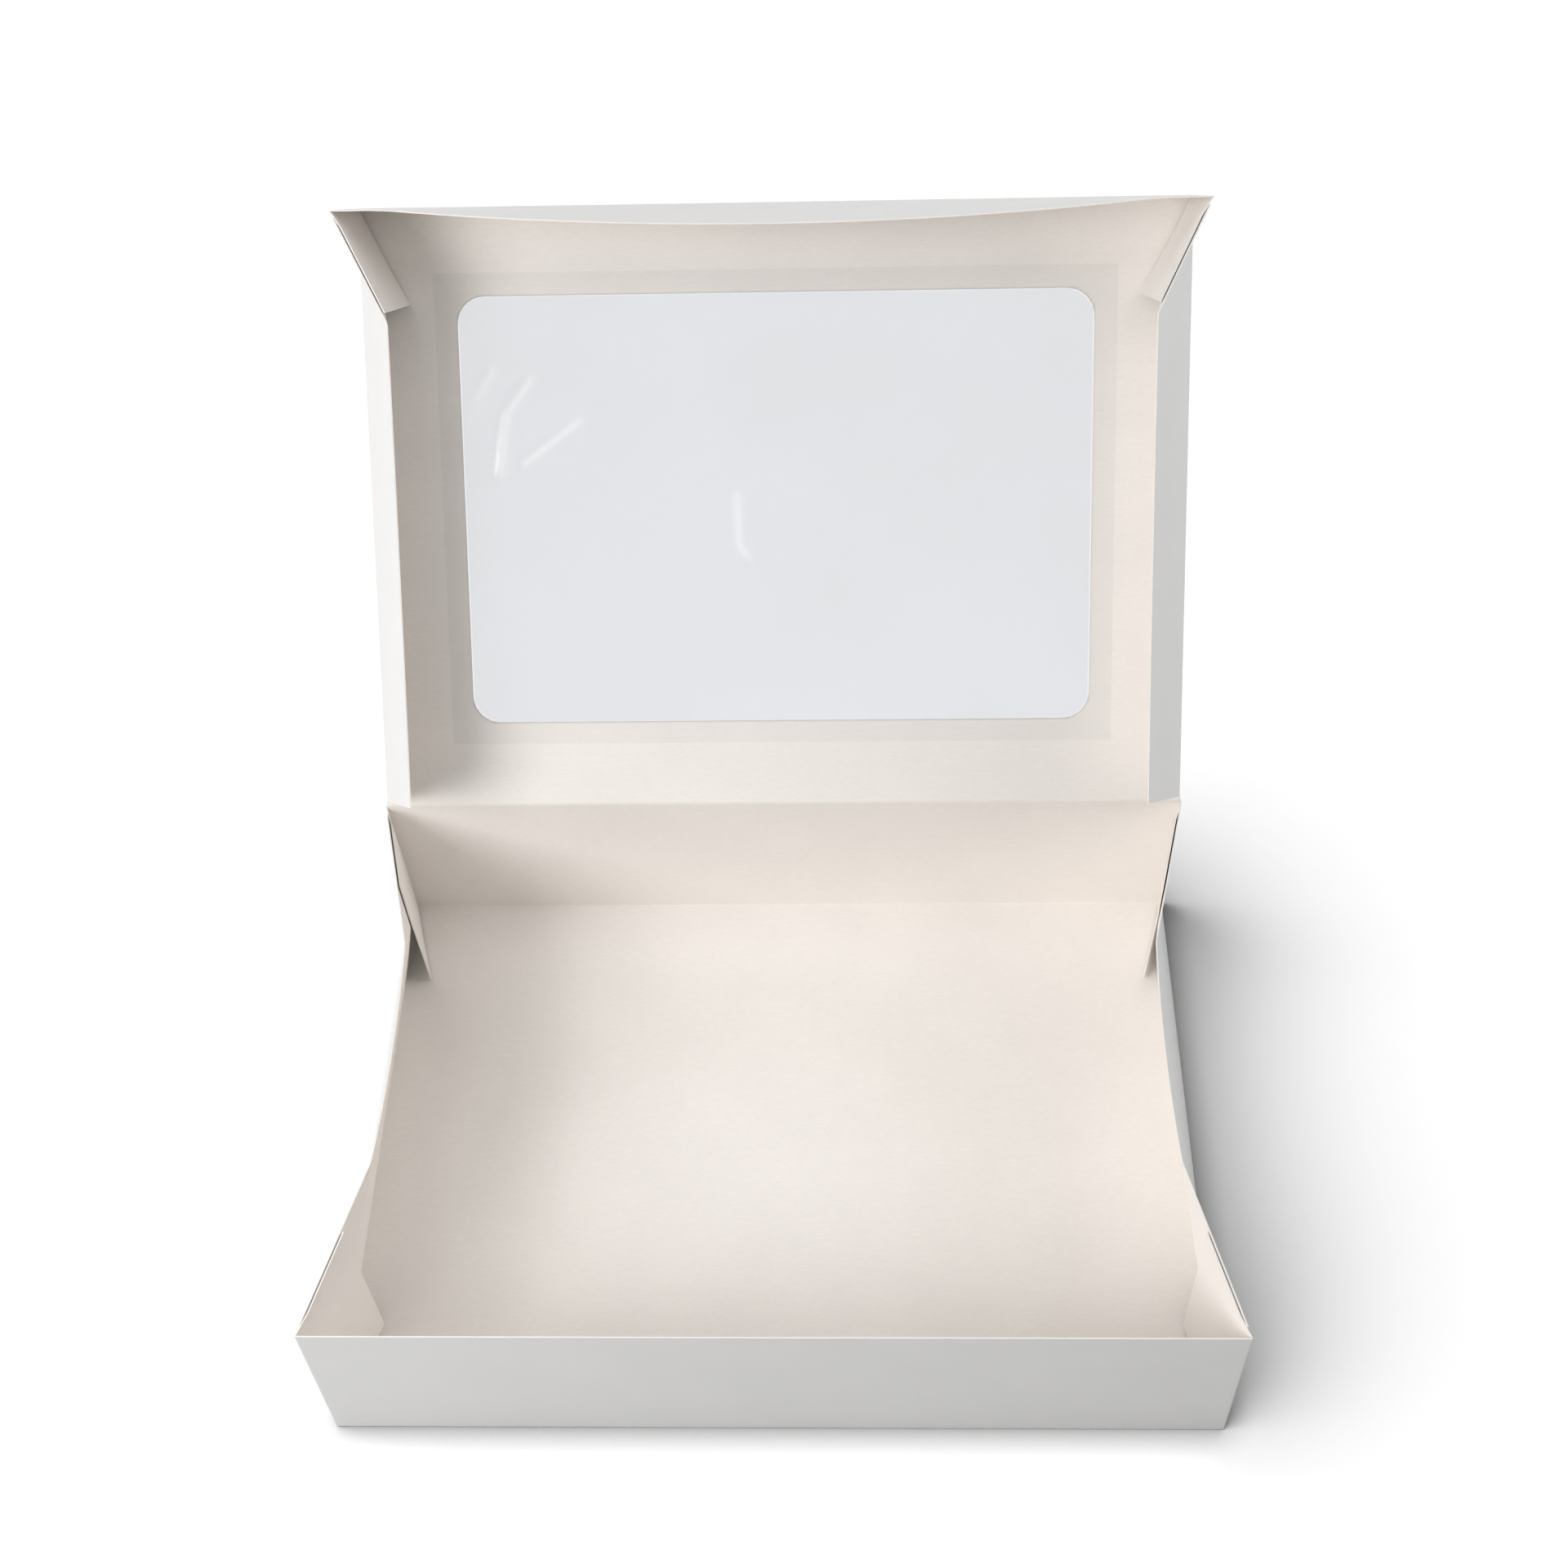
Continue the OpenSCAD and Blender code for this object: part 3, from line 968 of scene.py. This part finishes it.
class CUPCAKEBOX_OT_studio(bpy.types.Operator):
    """Set the floor, the lamps, the white surroundings and the camera"""

    bl_idname = "cupcake_box.studio"
    bl_label = "Set studio"

    def execute(self, context):
        studio = context.scene.cupcake_box.studio
        mesh = bpy.data.meshes.new("sweep")
        turns = ((-1, -1), (1, -1), (1, 1), (-1, 1))
        corners = [(x * SWEEP_HALF, y * SWEEP_HALF, -SWEEP_DROP) for x, y in turns]
        mesh.from_pydata(corners, [], [(0, 1, 2, 3)])
        mesh.materials.append(studio_floor(studio))
        sweep = new_object("sweep", mesh)
        self.light(context, studio, sweep)
        self.camera(context, studio)
        context.scene.view_settings.view_transform = "Standard"
        return {"FINISHED"}

    def lamp(self, name, values, lit):
        """A square soft light that faces the box and lights only the objects in lit."""
        *place, size, watts = values
        lamp = bpy.data.lights.new(name, "AREA")
        lamp.shape = "SQUARE"
        lamp.size = size
        lamp.energy = watts
        made = new_object(name, lamp)
        away = (Vector(place) - Vector(MIDDLE)).to_track_quat("Z", "Y")
        made.matrix_world = Matrix.Translation(place) @ away.to_matrix().to_4x4()
        made.light_linking.receiver_collection = lit

    def light(self, context, studio, sweep):
        """Soft lights for the box, one more for the sweep, and a white surround that is
        seen, straight or in reflections, and lights nothing."""
        box = bpy.data.collections.new("lit_box")
        ground = bpy.data.collections.new("lit_sweep")
        ground.objects.link(sweep)
        # The tray alone shades the sweep
        shade = bpy.data.collections.new("shading_tray")
        shade.objects.link(bpy.data.objects["tray_board"])
        for piece in context.scene.objects:
            if piece.type == "MESH" and piece != sweep:
                box.objects.link(piece)
        for name in ("key", "high", "low", "back", "front", "top", "fill", "side"):
            self.lamp(name, getattr(studio, name), box)
        sky = bpy.data.lights.new("sky", "SUN")
        sky.angle = studio.sky_angle
        sky.energy = studio.sky_power
        made = new_object("sky", sky)
        made.matrix_world = Vector(studio.sky).to_track_quat("Z", "Y").to_matrix().to_4x4()
        made.light_linking.receiver_collection = ground
        made.light_linking.blocker_collection = shade
        world = bpy.data.worlds.new("white_surround")
        world.use_nodes = True
        tree = world.node_tree
        tree.nodes.clear()
        strength = add_node(
            tree, "ShaderNodeMapRange", Value=seen_directly(tree), To_Min=0.0,
            To_Max=studio.surround,
        )
        white = add_node(
            tree, "ShaderNodeBackground", Color=(1, 1, 1, 1), Strength=strength.outputs[0]
        )
        add_node(tree, "ShaderNodeOutputWorld", Surface=white.outputs[0])
        context.scene.world = world

    def camera(self, context, studio):
        """The camera looks down on the open box from in front of it."""
        lens = bpy.data.cameras.new("camera")
        lens.lens = studio.lens_mm
        lens.sensor_width = 36
        lens.clip_start, lens.clip_end = 0.05, 20
        camera = new_object("camera", lens)
        turn = (
            Matrix.Rotation(studio.yaw, 4, "Z")
            @ Matrix.Rotation(pi / 2 - studio.pitch, 4, "X")
            @ Matrix.Rotation(studio.roll, 4, "Z")
        )
        camera.matrix_world = Matrix.Translation(studio.camera) @ turn
        context.scene.camera = camera


STEPS = (
    CUPCAKEBOX_OT_tray,
    CUPCAKEBOX_OT_lid,
    CUPCAKEBOX_OT_hinge,
    CUPCAKEBOX_OT_film,
    CUPCAKEBOX_OT_studio,
)


class CUPCAKEBOX_PT_panel(bpy.types.Panel):
    """Sizes, colours and steps of the cupcake box"""

    bl_idname = "CUPCAKEBOX_PT_panel"
    bl_label = "Cupcake box"
    bl_space_type = "VIEW_3D"
    bl_region_type = "UI"
    bl_category = "Cupcake box"

    def draw(self, context):
        settings = context.scene.cupcake_box
        for name, kind in SETTINGS.items():
            box = self.layout.box()
            box.label(text=name.capitalize())
            for value in kind.__annotations__:
                box.prop(getattr(settings, name), value)
        for step in STEPS:
            self.layout.operator(step.bl_idname)


CLASSES = (*SETTINGS.values(), BoxSettings, *STEPS, CUPCAKEBOX_PT_panel)


def register():
    for kind in CLASSES:
        bpy.utils.register_class(kind)
    bpy.types.Scene.cupcake_box = PointerProperty(type=BoxSettings)


def unregister():
    del bpy.types.Scene.cupcake_box
    for kind in reversed(CLASSES):
        bpy.utils.unregister_class(kind)


def main():
    """Makes everything in order."""
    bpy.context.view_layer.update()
    register()
    for step in STEPS:
        group, name = step.bl_idname.split(".")
        getattr(getattr(bpy.ops, group), name)()


if __name__ == "__main__":
    main()
